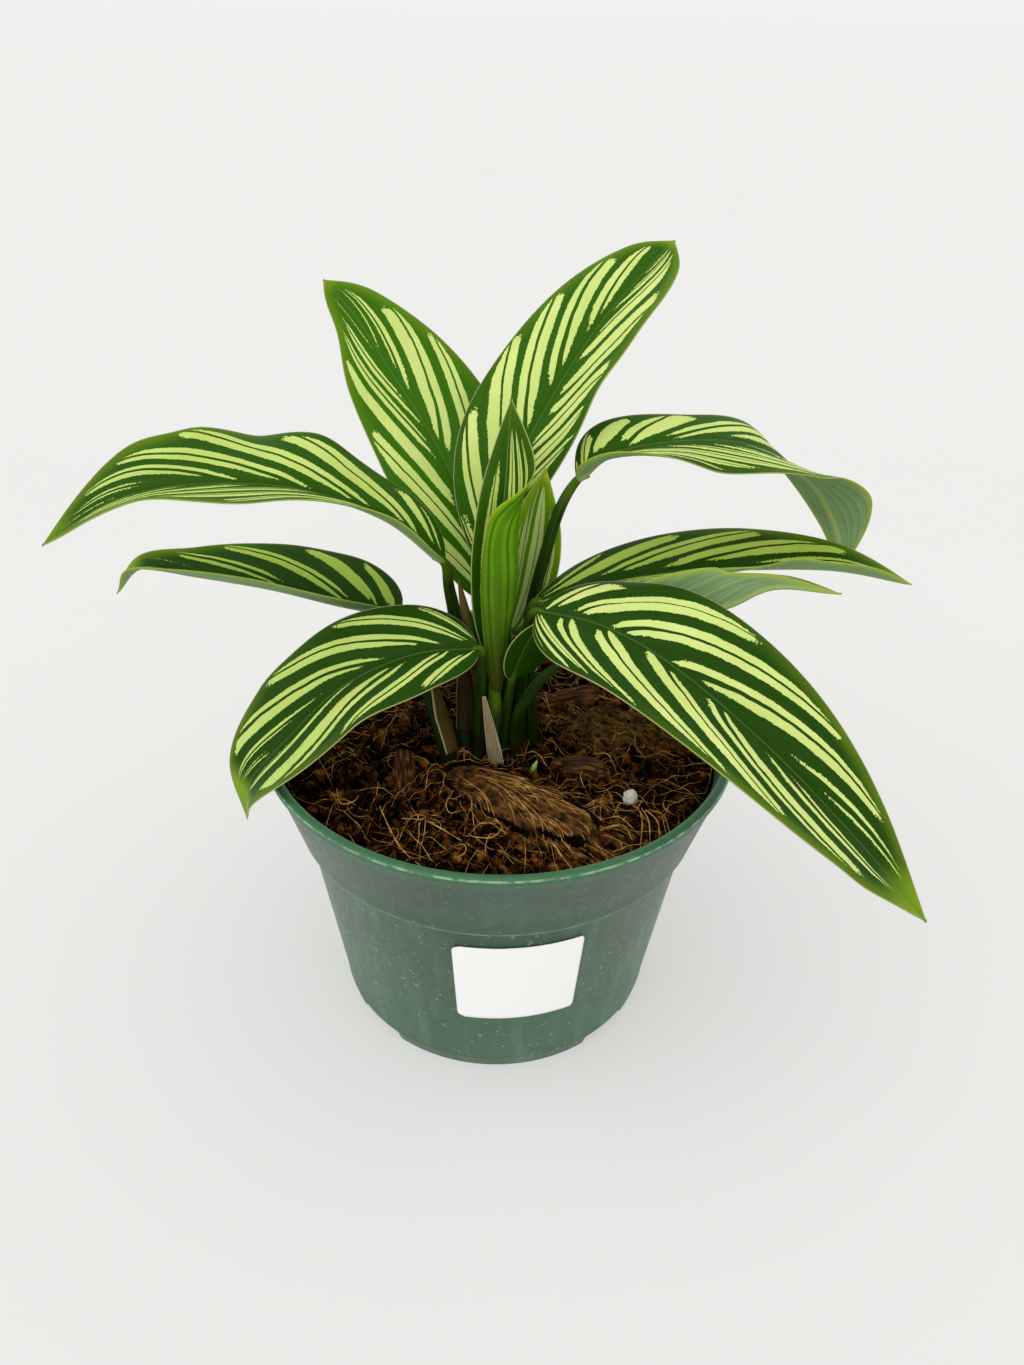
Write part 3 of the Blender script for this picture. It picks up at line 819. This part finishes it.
def turned_profile(profile, sides=240):
    """(r cos a, r sin a, z): each profile point carried round the axis, with the foot notched."""
    angle = 2 * np.pi * np.arange(sides) / sides
    radius, level = profile[:, 0][:, None], profile[:, 1][:, None]
    # A notch is 2.9 mm high and 18 degrees wide, and there is one in the middle of each quarter.
    off = np.abs(np.degrees(angle) % 90 - 45)[None]
    notch = 2.9 * (1 - smooth(8.6, 9.8, off))
    level = np.where((radius > 52.1) & (level < 2.9), np.maximum(level, notch), level)
    grid = np.broadcast_arrays(radius * np.cos(angle), radius * np.sin(angle), level)
    return np.stack(grid, axis=-1)[None]


skin("nursery_pot", turned_profile(pot_profile), [polypropylene], "pot")
across, high = 2 * pot_profile[:, 0].max(), pot_profile[:, 1].max()
print("pot:", round(float(across), 1), "mm across,", high, "mm high")

# %% [markdown]
# The sticker is coated paper, a fifth of a millimetre thick, glued round the pot's wall, and plain white.
# The coating makes it bright, with a soft gloss and a few shallow wrinkles. A flat sheet with a
# Shrinkwrap modifier could be pressed on. Wrapping its grid round the wall by numbers is as short, and
# gives the paper its thickness as well.

# %% Sticker paper
sticker_paper, tree = surface("coated white paper")
place = add(tree, "TexCoord")
# Paper fibres are finer than 0.1 mm. They are drawn 1 mm wide, so that they can show. Wrinkles are 17 mm
# wide.
fibre = add(tree, "TexNoise", {"Vector": place, "Scale": 900.0, "Detail": 3.0})
wrinkle = add(tree, "TexNoise", {"Vector": place, "Scale": 60.0, "Detail": 1.0})
colour = add(tree, "Mix", fibre, "#fbfbfa", "#fefefe")
bump = add(tree, "Bump", {"Strength": 0.2, "Distance": 0.0006, "Height": wrinkle})
add(tree, "OutputMaterial", add(tree, "BsdfPrincipled", {
    "Base Color": colour, "Roughness": 0.5, "Normal": bump, "Specular IOR Level": 0.35}))
print("sticker:", sticker_paper.name)


# %% Sticker
def body_radius(level):
    """The pot's wall runs straight from 55 mm at the foot to 65.5 mm under the step."""
    return 55 + 10.5 * level / 75


def sticker(width=39, height=37, middle=47.7, turn=7.4, tilt=0.8, corner=2.5, rows=40, columns=60):
    """Flat places across and up, tilted, then wrapped round the wall: angle = across / radius."""
    # Near its upper and lower edge a row is shorter, which rounds the corners, the right ones less.
    up = (height / 2 * np.linspace(-1, 1, rows))[:, None]
    inset = np.maximum(0, np.abs(up) - height / 2 + corner)
    short = corner - np.sqrt(np.maximum(corner ** 2 - inset ** 2, 0))
    share = np.linspace(-1, 1, columns)[None]
    wide = (width / 2 - np.where(share < 0, short, 0.3 * short)) * share
    angle = np.radians(tilt)
    level = middle + wide * np.sin(angle) + up * np.cos(angle)
    aside = wide * np.cos(angle) - up * np.sin(angle)
    around = np.radians(turn - 90) + aside / body_radius(middle)
    walls = []
    for lift in (0.4, 0.2):
        radius = body_radius(level) + lift
        walls.append(np.stack([radius * np.cos(around), radius * np.sin(around), level], axis=-1))
    return both_sides(*walls)


skin("sticker", sticker(), [sticker_paper], "label")

# %% [markdown]
# Potting mix is damp coconut coir and bark. Its look comes from fibres and crumbs over dark hollows. A
# bump map alone would look flat from the side, so a lumpy bed carries the colour of the depths, and
# crumbs and fibres lie on it as real geometry.

# %% Coir
coir, tree = surface("damp coir and bark mix")
place = add(tree, "TexCoord")
# Marks are 3 mm wide and finer, in clods of 11 mm.
crumb = add(tree, "TexNoise", {"Vector": place, "Scale": 330.0, "Detail": 8.0, "Roughness": 0.65})
clod = add(tree, "TexNoise", {"Vector": place, "Scale": 90.0, "Detail": 4.0})
tone = add(tree, "Math MULTIPLY", crumb, add(tree, "Math ADD", clod, 0.5))
colour = add(tree, "ValToRGB", tone,
             stops=((0.36, "#020100"), (0.52, "#080402"), (0.64, "#190d05"), (0.8, "#33200e")))
bump = add(tree, "Bump", {"Strength": 0.9, "Distance": 0.002, "Height": crumb})
add(tree, "OutputMaterial", add(tree, "BsdfPrincipled", {
    "Base Color": colour, "Roughness": 0.9, "Normal": bump, "Specular IOR Level": 0.05}))
print("soil:", coir.name)

# %% Soil bed
# The heap's edge, where it meets the pot's wall, and the pot's own radius, in millimetres.
SOIL_RADIUS, POT_RADIUS = 71.0, 76.2


def soil_level(x, y):
    """A low heap with lumps from a few crossed waves that fade at the pot's wall."""
    share = np.hypot(x, y) / POT_RADIUS
    waves = (np.sin(x * 0.31 + 1.3) * np.cos(y * 0.27 + 0.4) + 0.7 * np.sin(x * 0.53 - y * 0.41 + 2.1)
             + 0.5 * np.cos(x * 0.83 + y * 0.71))
    return 94.5 + 2.2 * (1 - share ** 2) + 1.1 * waves * np.minimum(1, 3 * (1 - share))


def hollow(x, y):
    """1 in the open gaps between clods, 0 on top of them, from crossed waves 5 to 12 mm long."""
    waves = np.sin(0.83 * x + 0.37 * y + 1.1) * np.sin(0.71 * y - 0.29 * x)
    return smooth(0.25, 0.75, waves + 0.6 * np.sin(1.27 * x - 0.94 * y + 0.7))


def soil_bed(rows=150, sides=300):
    """A disc of rings, radius x (cos a, sin a) at the soil's height, closed below along the wall."""
    radius = np.concatenate([[1.0, 54.5, 61.0], np.linspace(SOIL_RADIUS, 0.2, rows)])[:, None]
    angle = (2 * np.pi * np.arange(sides) / sides)[None]
    x, y = radius * np.cos(angle), radius * np.sin(angle)
    rough = (0.9 * np.sin(1.9 * x + 1.1 * y) * np.sin(1.7 * y - 0.8 * x)
             + 0.5 * np.sin(3.7 * x) * np.cos(3.1 * y)
             + 0.8 * np.sin(0.9 * x - 0.5 * y) * np.sin(1.1 * y + 0.3 * x)
             - 0.6 - 2.6 * hollow(x, y))
    level = soil_level(x, y) + rough * smooth(0, 6, SOIL_RADIUS - radius)
    level[:3] = np.array([10, 10, 70])[:, None]
    return np.stack([x, y, level], axis=-1)[None]


skin("soil_bed", soil_bed(), [coir], "soil")

# %% [markdown]
# Crumbs are small uneven balls of bark dust and coir, mostly tiny, with a few as wide as 3 mm. One mesh
# holds them all, with few faces each, because there are thousands.

# %% Crumbled bark
crumb_bark, tree = surface("crumbled bark and coir")
place = add(tree, "TexCoord")
# Tones change every 5 mm, so a crumb has about one tone, and others nearby differ from it.
tone = add(tree, "TexNoise", {"Vector": place, "Scale": 210.0, "Detail": 5.0})
colour = add(tree, "ValToRGB", tone,
             stops=((0.38, "#050302"), (0.5, "#241206"), (0.62, "#6a3c14"), (0.76, "#a87434")))
bump = add(tree, "Bump", {"Strength": 0.6, "Distance": 0.001, "Height": tone})
add(tree, "OutputMaterial", add(tree, "BsdfPrincipled", {
    "Base Color": colour, "Roughness": 0.9, "Normal": bump, "Specular IOR Level": 0.05}))
print("crumbs:", crumb_bark.name)


# %% Crumbs
def lumps(centres, sizes, rows=5, ring=6, rough=1.0):
    """Spheres with their radius changed at random at each point, and flattened a little."""
    count = len(centres)
    polar = np.linspace(np.pi - 0.1, 0.1, rows)[None, :, None]
    angle = (2 * np.pi * np.arange(ring) / ring)[None, None]
    radius = sizes[:, None, None] * (1 + rough * (rng.random((count, rows, ring)) - 0.5))
    flat = (0.6 + 0.4 * rng.random(count))[:, None, None]
    wide = radius * np.sin(polar)
    ball = np.stack([wide * np.cos(angle), wide * np.sin(angle), radius * np.cos(polar) * flat], axis=-1)
    return centres[:, None, None] + ball


def scatter(count):
    """Places spread evenly over the soil: radius from the square root of chance."""
    radius = (SOIL_RADIUS - 1.5) * np.sqrt(rng.random(count))
    angle = 2 * np.pi * rng.random(count)
    return radius * np.cos(angle), radius * np.sin(angle)


# Few crumbs lie in the gaps between clods.
CRUMBS = 7500
x, y = scatter(CRUMBS)
on_clods = hollow(x, y) < rng.random(CRUMBS)
x, y = x[on_clods], y[on_clods]
size = 0.4 + 1.3 * rng.random(len(x)) ** 3
centres = np.stack([x, y, soil_level(x, y) + 0.3 * size], axis=-1)
skin("bark_crumbs", lumps(centres, size), [crumb_bark])

# %% [markdown]
# Coconut fibres are stiff golden-brown hairs, some curled into loops. Blender's hair could grow them, but
# hair isn't exported as a mesh. So each one is a thin tube with four sides, along an arc that lies on
# the soil and rises a little in its middle.

# %% Fibres
def fibres(start, heading, length, bend, lift, thickness, rows=9, ring=4, level=soil_level):
    """Tubes whose heading turns evenly by bend along the way; the height is the soil's plus an arch."""
    share = np.linspace(0, 1, rows)[None]
    turn = heading[:, None] + bend[:, None] * (share - 0.5)
    step = (length / (rows - 1))[:, None]
    x = start[0][:, None] + np.cumsum(np.cos(turn) * step, axis=1)
    y = start[1][:, None] + np.cumsum(np.sin(turn) * step, axis=1)
    # A fibre that would leave the pot is drawn back inside its wall.
    pull = np.minimum(1, (SOIL_RADIUS - 1.0) / np.maximum(np.hypot(x, y), 1e-6))
    x, y = x * pull, y * pull
    z = level(x, y) + lift[:, None] * 4 * share * (1 - share) + 0.3
    centre = np.stack([x, y, z], axis=-1)
    tangent = unit(np.gradient(centre, axis=1))
    side = unit(np.cross(tangent, [0, 0, 1.0]))
    up = np.cross(side, tangent)
    angle = 2 * np.pi * np.arange(ring) / ring
    radius = (thickness[:, None] * (1 - 0.7 * np.abs(2 * share - 1) ** 3))[..., None, None]
    around = side[:, :, None] * np.cos(angle)[:, None] + up[:, :, None] * np.sin(angle)[:, None]
    return (centre[:, :, None] + radius * around)[:, :, ::-1]


# %% What the fibres are made of
def fibre_skin(name, dark, light):
    """Coconut fibre: stiff and matt, golden brown where dry and darker where damp, every 2.4 mm."""
    material, tree = surface(name)
    place = add(tree, "TexCoord")
    tone = add(tree, "TexNoise", {"Vector": place, "Scale": 420.0, "Detail": 3.0})
    colour = add(tree, "Mix", add(tree, "MapRange", tone, 0.35, 0.65), dark, light)
    add(tree, "OutputMaterial", add(tree, "BsdfPrincipled", {
        "Base Color": colour, "Roughness": 0.65, "Specular IOR Level": 0.12}))
    return material


fibre_brown = fibre_skin("coconut fibre, damp", "#180b04", "#84501a")
fibre_gold = fibre_skin("coconut fibre, dry", "#8e5a1c", "#dcae62")
fibre_mat = fibre_skin("matted coconut fibre", "#3a2408", "#8a6a2c")
fibre_husk = fibre_skin("husk fibre", "#1c1006", "#7c5222")
print("fibres:", fibre_brown.name, fibre_gold.name, fibre_mat.name, fibre_husk.name, sep="; ")


# %% Fibres all over the soil
def random_fibres(count, length, bend, lift, thickness, **more):
    """count fibres all over the soil, with their values drawn between the given limits."""
    spot = scatter(count)
    drawn = [low + (high - low) * rng.random(count) for low, high in (length, bend, lift, thickness)]
    return fibres(spot, 2 * np.pi * rng.random(count), *drawn, **more)


brown = random_fibres(1700, (4, 13), (-0.7, 0.7), (0, 1.3), (0.06, 0.18))
skin("fibres_brown", brown, [fibre_brown])
gold = random_fibres(330, (7, 26), (-0.9, 0.9), (0.3, 3), (0.06, 0.15), rows=14)
curly = random_fibres(70, (8, 20), (-5, 5), (0.3, 3.5), (0.07, 0.14), rows=14)
skin("fibres_gold", np.concatenate([gold, curly]), [fibre_gold])

# %% [markdown]
# A matted clump of husk lies in front of the stalks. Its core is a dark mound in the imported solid's
# place: a ball, made squarer and uneven, and stretched along the clump. The bark chips and the bead of
# perlite further down are mounds too.

# %% Husk clump: its core
def mound(at, half, turn, lean, rows=40, ring=60, rough=0.05):
    """A ball with squared sides and uneven skin, stretched to its half sizes, leant and turned."""
    polar = np.linspace(np.pi - 0.02, 0.02, rows)[:, None]
    angle = (2 * np.pi * np.arange(ring) / ring)[None]
    x, y = np.sin(polar) * np.cos(angle), np.sin(polar) * np.sin(angle)
    z = np.cos(polar) * np.ones_like(angle)
    uneven = 1 + rough * (np.sin(5 * x + 2 * y) * np.cos(4 * y - 3 * z) + 0.5 * np.sin(9 * x + 7 * z)
                          + 0.5 * np.sin(17 * y + 5 * x))
    ball = np.stack([np.sign(v) * np.abs(v) ** 0.8 * uneven * size
                     for v, size in zip((x, y, z), half)], axis=-1)
    a, b = np.radians(lean), np.radians(turn)
    leaning = np.array([(1, 0, 0), (0, np.cos(a), -np.sin(a)), (0, np.sin(a), np.cos(a))])
    turning = np.array([(np.cos(b), -np.sin(b), 0), (np.sin(b), np.cos(b), 0), (0, 0, 1)])
    return (ball @ leaning.T @ turning.T + np.array(at))[None]


husk_at, husk_half, husk_turn = (6.5, -35.5, 97.5), (27, 9.5, 4.2), -33
skin("husk_core", mound(husk_at, husk_half, husk_turn, 4), [coir], "husk_clump")

# %% [markdown]
# The clump's fibres all run roughly its own way and follow the mound, so it reads as one torn strip of
# husk. Its loose end frays into longer, paler ones that spread like a broom. Their places are given as
# shares of the mound's half sizes, and their height is that of the mound under them.

# %% Husk clump: its fibres
husk_way = np.radians(husk_turn)


def husk_place(forward, aside):
    """Shares of the mound's half length and half width, turned into places on the soil."""
    length, width = husk_half[0] * forward, husk_half[1] * aside
    return (husk_at[0] + length * np.cos(husk_way) - width * np.sin(husk_way),
            husk_at[1] + length * np.sin(husk_way) + width * np.cos(husk_way))


def husk_level(x, y):
    """The higher of the soil and the mound's top, which is a half ellipsoid."""
    x_off, y_off = x - husk_at[0], y - husk_at[1]
    forward = (x_off * np.cos(husk_way) + y_off * np.sin(husk_way)) / husk_half[0]
    aside = (y_off * np.cos(husk_way) - x_off * np.sin(husk_way)) / husk_half[1]
    left = 1 - forward ** 2 - aside ** 2
    top = husk_at[2] + husk_half[2] * np.sqrt(np.maximum(0, left))
    return np.maximum(soil_level(x, y), np.where(left > 0, top, 0))


count = 1500
spread, turn = np.sqrt(rng.random(count)) * 0.98, 2 * np.pi * rng.random(count)
spot = husk_place(spread * np.cos(turn) - 0.15, spread * np.sin(turn))
heading = husk_way + 0.17 * rng.standard_normal(count)
husk = fibres(spot, heading, 6 + 18 * rng.random(count), 0.3 * rng.standard_normal(count),
              0.7 * rng.random(count), 0.07 + 0.14 * rng.random(count), level=husk_level)
skin("husk_fibres", husk, [fibre_husk])

count = 90
side = rng.uniform(-1, 1, count)
spot = husk_place(rng.uniform(-0.8, 0.9, count), 0.85 * side)
heading = husk_way + 0.5 * side + 0.25 * rng.standard_normal(count)
husk = fibres(spot, heading, rng.uniform(8, 24, count), rng.uniform(-0.9, 0.9, count),
              rng.uniform(0.4, 2, count), rng.uniform(0.07, 0.15, count), level=husk_level, rows=14)
skin("husk_fibres_gold", husk, [fibre_gold])

# %% [markdown]
# A second mat lies flat behind the stalks on the right. It has no core: its fibres fall round one middle
# and grow fewer outwards, so it has no hard edge.

# %% Rear mat
count = 420
spot = (32 + 11 * rng.standard_normal(count), 8 + 6 * rng.standard_normal(count))
heading = -0.3 + 0.5 * rng.standard_normal(count)
mat = fibres(spot, heading, rng.uniform(6, 18, count), rng.uniform(-0.8, 0.8, count),
             rng.uniform(0.3, 2.6, count), rng.uniform(0.08, 0.2, count))
skin("rear_mat", mat, [fibre_mat])

# %% [markdown]
# A few long fibres stand out one by one: loops, arches and a fan of four. Each is a tube through points
# that a hand placed on the soil, lifted by an arch. The twig is a thicker tube in the crumbs' bark.

# %% Loose fibres and a twig
loose = {
    "long": [(-35, -37), (-33.8, -42), (-27, -56), (-19, -64)],
    "fan_1": [(43, -35), (43.5, -42), (42, -53)],
    "fan_2": [(44, -35.5), (45.5, -42), (45, -51)],
    "fan_3": [(45, -36), (48, -42), (48, -49)],
    "fan_4": [(46, -36), (50, -40), (51.5, -46)],
    "loop_left": [(-49, -31), (-47, -37), (-43, -37), (-42, -32)],
    "loop_front": [(-8, -47), (-6, -51), (-1, -52), (2, -48), (0, -45)],
    "arch_left": [(-28, -42), (-20, -46), (-10, -52), (-2, -58)],
    "arch_right": [(22, -52), (28, -47), (37, -45), (40, -50)],
    "rear_right": [(30, 30), (38, 22), (46, 24), (50, 14)],
}
for name, places in loose.items():
    flat = np.array(places, float)
    rise = 1.2 + 1.0 * np.sin(np.linspace(0.3, np.pi - 0.3, len(flat)))
    path = np.column_stack([flat, soil_level(*flat.T) + rise])
    skin(f"fibre_{name}", tube(path, (0.14, 0.19, 0.1), rows=30, ring=6), [fibre_gold])
twig = np.array([(-47, -20, 97.4), (-44.5, -12, 98.4), (-41.5, -4, 98.9)])
skin("twig", tube(twig, (0.5, 0.9, 0.7), rows=30, ring=10), [crumb_bark])

# %% [markdown]
# Bark chips are split wood: long grain, reddish tan where dry. The grain is a noise stretched eight times
# along the chip. It reads the chip's own directions, which the mesh carries, because Object coordinates
# would run the same way through every chip.

# %% Split bark
bark, tree = surface("split pine bark")
# The attributes are in millimetres, so the grain is 1.1 mm wide and 9 mm long.
forward, aside, high = (add(tree, "Attribute", attribute_name=key) for key in ("forward", "aside", "high"))
grain_place = add(tree, "CombineXYZ", add(tree, "Math MULTIPLY", forward, 0.12), aside, high)
grain = add(tree, "TexNoise", {"Vector": grain_place, "Scale": 0.9, "Detail": 5.0})
colour = add(tree, "ValToRGB", grain, stops=((0.34, "#150b05"), (0.5, "#43260f"), (0.68, "#8a5c2a")))
bump = add(tree, "Bump", {"Strength": 0.8, "Distance": 0.0012, "Height": grain})
add(tree, "OutputMaterial", add(tree, "BsdfPrincipled", {
    "Base Color": colour, "Roughness": 0.85, "Normal": bump, "Specular IOR Level": 0.08}))
print("chips:", bark.name)

# %% Bark chips
chips = {
    "bark_left": ((-29, -23, 97), (3.6, 11, 2.6), 8, 14),
    "bark_right": ((26, -17, 97.2), (9, 6, 3), -6, -10),
    "bark_back": ((26, 24, 96.8), (12, 5, 2.8), 24, 8),
}
for name, (at, half, turn, lean) in chips.items():
    chip = mound(at, half, turn, lean, rough=0.07)
    # The long way of a chip is its first half size or its second, whichever is larger.
    a = np.radians(turn + (90 if half[1] > half[0] else 0))
    x, y, z = np.moveaxis(chip - np.array(at), -1, 0)
    values = {"forward": x * np.cos(a) + y * np.sin(a), "aside": y * np.cos(a) - x * np.sin(a), "high": z}
    skin(f"chip_{name}", chip, [bark], name, values)

# %% [markdown]
# The bead is expanded perlite, white and rough like pumice. It is a small mound with a rougher skin than
# the chips have, and fine pores that are only a bump.

# %% Perlite bead
perlite, tree = surface("expanded perlite")
place = add(tree, "TexCoord")
# Pores are 1 mm wide and finer.
pores = add(tree, "TexNoise", {"Vector": place, "Scale": 900.0, "Detail": 3.0})
colour = add(tree, "Mix", pores, "#c9c2b0", "#f1eee6")
bump = add(tree, "Bump", {"Strength": 0.7, "Distance": 0.0008, "Height": pores})
add(tree, "OutputMaterial", add(tree, "BsdfPrincipled", {
    "Base Color": colour, "Roughness": 0.9, "Normal": bump}))
bead = mound((41, -31, 97.4), (2.1, 2.1, 2.1), 0, 0, rows=24, ring=32, rough=0.12)
skin("perlite", bead, [perlite], "perlite_bead")

# %% [markdown]
# Sheaths are the dried, papery bases of older leaves that still clasp the stalks. Each is a thin plate
# bent round its stalk and narrowed to a point, with a pale edge. A strip cut out of a tube would have a
# ragged rim, so the plate is its own grid: an arc round the stalk's centre line at each height. The bract
# is one more plate, round a straight line of its own.

# %% Papery skins
def papery(name, body, light, border):
    """Dry leaf sheath: streaks 0.25 mm wide and 10 mm long, no gloss, and a lighter border."""
    material, tree = surface(name)
    share, turn = (add(tree, "Attribute", attribute_name=key) for key in ("share", "turn"))
    lines = add(tree, "CombineXYZ", add(tree, "Math MULTIPLY", turn, 9.0),
                add(tree, "Math MULTIPLY", share, 2.5))
    streak = add(tree, "TexNoise", {"Vector": lines, "Scale": 1.4, "Detail": 4.0})
    colour = add(tree, "Mix", add(tree, "MapRange", streak, 0.35, 0.65), body, light)
    rim = add(tree, "MapRange", add(tree, "Math ABSOLUTE", turn), 0.84, 0.95, 0.0, 0.9)
    colour = add(tree, "Mix", rim, colour, border)
    bump = add(tree, "Bump", {"Strength": 0.4, "Distance": 0.0004, "Height": streak})
    add(tree, "OutputMaterial", add(tree, "BsdfPrincipled", {
        "Base Color": colour, "Roughness": 0.65, "Normal": bump, "Specular IOR Level": 0.1}))
    return material


sheath_paper = papery("dry calathea sheath", "#332a0c", "#5c4a1e", "#cdbb8e")
sheath_dark = papery("damp calathea sheath", "#1e1a08", "#403018", "#9c8a5c")
bract_paper = papery("papery bract", "#6e5a3c", "#c8b68e", "#f2ead4")
print("sheaths:", sheath_paper.name, sheath_dark.name, bract_paper.name, sep="; ")


# %% Sheaths and bract
def clasp(path, radii, start, end, middle, arc, tip, lift, thickness=0.5, rows=40, columns=24):
    """An arc of a circle round the stalk at each height. It narrows over the last two thirds.

    Points are centre + radius x outward, where outward is made square to the stalk. middle is where
    the plate's middle faces and arc how far it reaches round, in degrees.
    """
    share = np.linspace(start, end, rows)
    centre, tangent = along(path, share), direction(path, share)
    radius = along(np.asarray(radii, float)[:, None], share) + lift
    narrow = np.minimum(1, (1.001 - np.linspace(0, 1, rows)) / 0.65) * (1 - tip) + tip
    turn = np.radians(middle + narrow[:, None] * arc * np.linspace(-0.5, 0.5, columns)[None])
    outward = np.stack([np.cos(turn), np.sin(turn), np.zeros_like(turn)], axis=-1)
    outward = unit(outward - (outward * tangent[:, None]).sum(-1, keepdims=True) * tangent[:, None])
    walls = [centre[:, None] + (radius[:, None] + grow) * outward for grow in (thickness, 0)]
    turn = np.linspace(-1, 1, columns)[None]
    values = {"share": np.linspace(0, 1, rows)[None, :, None], "turn": both_sides(turn, turn)}
    return both_sides(*walls), values


for name, owner, end, middle, tip in (("sheath_left_back", "left_back", 0.74, -25, 0.2),
                                      ("sheath_left_long", "left_long", 0.52, -80, 0.1)):
    path, _ = stalk_path(leaves[owner])
    radii = (leaves[owner]["thick"][0], *leaves[owner]["thick"])
    rings, values = clasp(path[:-1], radii, 0.27, end, middle, 130, tip, 0.3)
    paper = sheath_dark if name == "sheath_left_long" else sheath_paper
    skin(f"paper_{name}", rings, [paper], name, values)

rings, values = clasp([(0.4, -11.7, 90), (-4.6, -15.1, 124.4)], (2.35, 2.35), 0, 1, -90, 110, 0.2, 0)
skin("paper_bract", rings, [bract_paper], "bract", values)

# %% [markdown]
# The spear is the next leaf, still rolled in its dark sheath, and the shoot a fresh one that has just
# come up. Neither shows any folds yet, so a tapering tube in the stalks' kind of skin is enough.

# %% Spear and shoot
spear_skin = stalk_skin("calathea leaf spear", "#2c3a0c", "#4c4c14", "#54421c", "#241408")
spear = tube([(-5.6, -3, 90), (-5.8, -3.6, 112), (-8.3, -5, 135), (-11, -4.8, 147), (-12.8, -4.4, 156.5)],
             (1.2, 1.2, 1.7, 1.4, 0.35), rows=50, ring=16)
skin("rolled_spear", spear, [spear_skin], "spear", round_values(50, 16))
shoot_skin = stalk_skin("fresh shoot", "#5f9a35", "#9fce5f", "#b6da72", "#4a7a2a")
shoot = tube([(10.5, -17, 90), (11, -17.3, 96), (12.3, -18, 100.5)], (1.3, 1.2, 0.3), rows=30, ring=16)
skin("green_shoot", shoot, [shoot_skin], "shoot", round_values(30, 16))

# %% [markdown]
# The plant stands on a wide pale floor, in soft light from the whole sky with a broad sun behind haze.
# The sky is brighter above than at the horizon, where it matches the floor, so the horizon hardly shows.
# Half of the floor's light is its own glow, as over a lit table, which keeps the shadow round the pot soft.

# %% Floor
# It is a shade darker or lighter every 30 cm, by less than the eye notices.
floor_paint, tree = surface("matt white paper")
place = add(tree, "TexCoord")
tone = add(tree, "TexNoise", {"Vector": place, "Scale": 3.0, "Detail": 2.0})
colour = add(tree, "Mix", tone, "#a7a7a6", "#ababaa")
add(tree, "OutputMaterial", add(tree, "BsdfPrincipled", {
    "Base Color": colour, "Roughness": 0.9, "Specular IOR Level": 0.0,
    "Emission Color": "#f0f0ee", "Emission Strength": 0.46}))
# The floor reaches 60 m each way, so its edge lies at the horizon.
FAR = 60
floor_mesh = bpy.data.meshes.new("floor")
floor_mesh.from_pydata([(-FAR, -FAR, 0), (FAR, -FAR, 0), (FAR, FAR, 0), (-FAR, FAR, 0)],
                       [], [(0, 1, 2, 3)])
floor_mesh.materials.append(floor_paint)
floor = stand("floor", floor_mesh)
print("floor:", floor_paint.name, "for", FAR, "m each way")

# %% Sky and sun
world = bpy.data.worlds.new("soft studio")
world.use_nodes = True
tree = world.node_tree
tree.nodes.clear()
# Upwards the light grows from the horizon's to the zenith's strength.
upward = add(tree, "SeparateXYZ", add(tree, "TexCoord", out=0), out=2)
strength = add(tree, "MapRange", upward, 0.02, 0.35, 0.875, 1.04)
add(tree, "OutputWorld", add(tree, "Background", {"Color": (1.0, 1.0, 0.985, 1.0), "Strength": strength}))
bpy.context.scene.world = world

haze = bpy.data.lights.new("hazy sun", "SUN")
haze.energy, haze.angle = 0.5, np.radians(60)
sun = stand("hazy sun", haze)
sun.rotation_euler = (np.radians(20), np.radians(-28), 0)
print("light:", world.name, "and", sun.name)

# %% [markdown]
# The camera stands close and looks down at the plant by 32 degrees. Its place and lens were found from
# the pot's round rim and foot, whose ellipses fix the angle and the distance.

# %% Camera
from mathutils import Matrix

AIM = np.array([3.8, 0.0, 118.3])
ELEVATION, DISTANCE, ROLL = np.radians(32.3), 321.3, np.radians(1.47)
look = np.array([0.0, np.cos(ELEVATION), -np.sin(ELEVATION)])
right, up = np.array([1.0, 0.0, 0.0]), np.array([0.0, np.sin(ELEVATION), np.cos(ELEVATION)])
right, up = np.cos(ROLL) * right + np.sin(ROLL) * up, np.cos(ROLL) * up - np.sin(ROLL) * right
eye = AIM - DISTANCE * look
# The lens is 1000 pixels long in a picture that is 1365 pixels high.
SENSOR, LENS_PIXELS, HIGH_PIXELS = 36.0, 1000, 1365
camera_data = bpy.data.cameras.new("camera")
camera_data.sensor_fit, camera_data.sensor_height = "VERTICAL", SENSOR
camera_data.lens = SENSOR * LENS_PIXELS / HIGH_PIXELS
camera_data.clip_start, camera_data.clip_end = 0.01, 200.0
camera = stand("camera", camera_data)
axes, place = np.stack([right, up, -look], axis=1), eye * MILLIMETRE
camera.matrix_world = Matrix([[*axes[i], place[i]] for i in range(3)] + [[0, 0, 0, 1]])
bpy.context.scene.camera = camera
bpy.context.scene.view_settings.view_transform = "Standard"
print("camera at", np.round(eye), "mm, lens", round(camera_data.lens, 1), "mm")
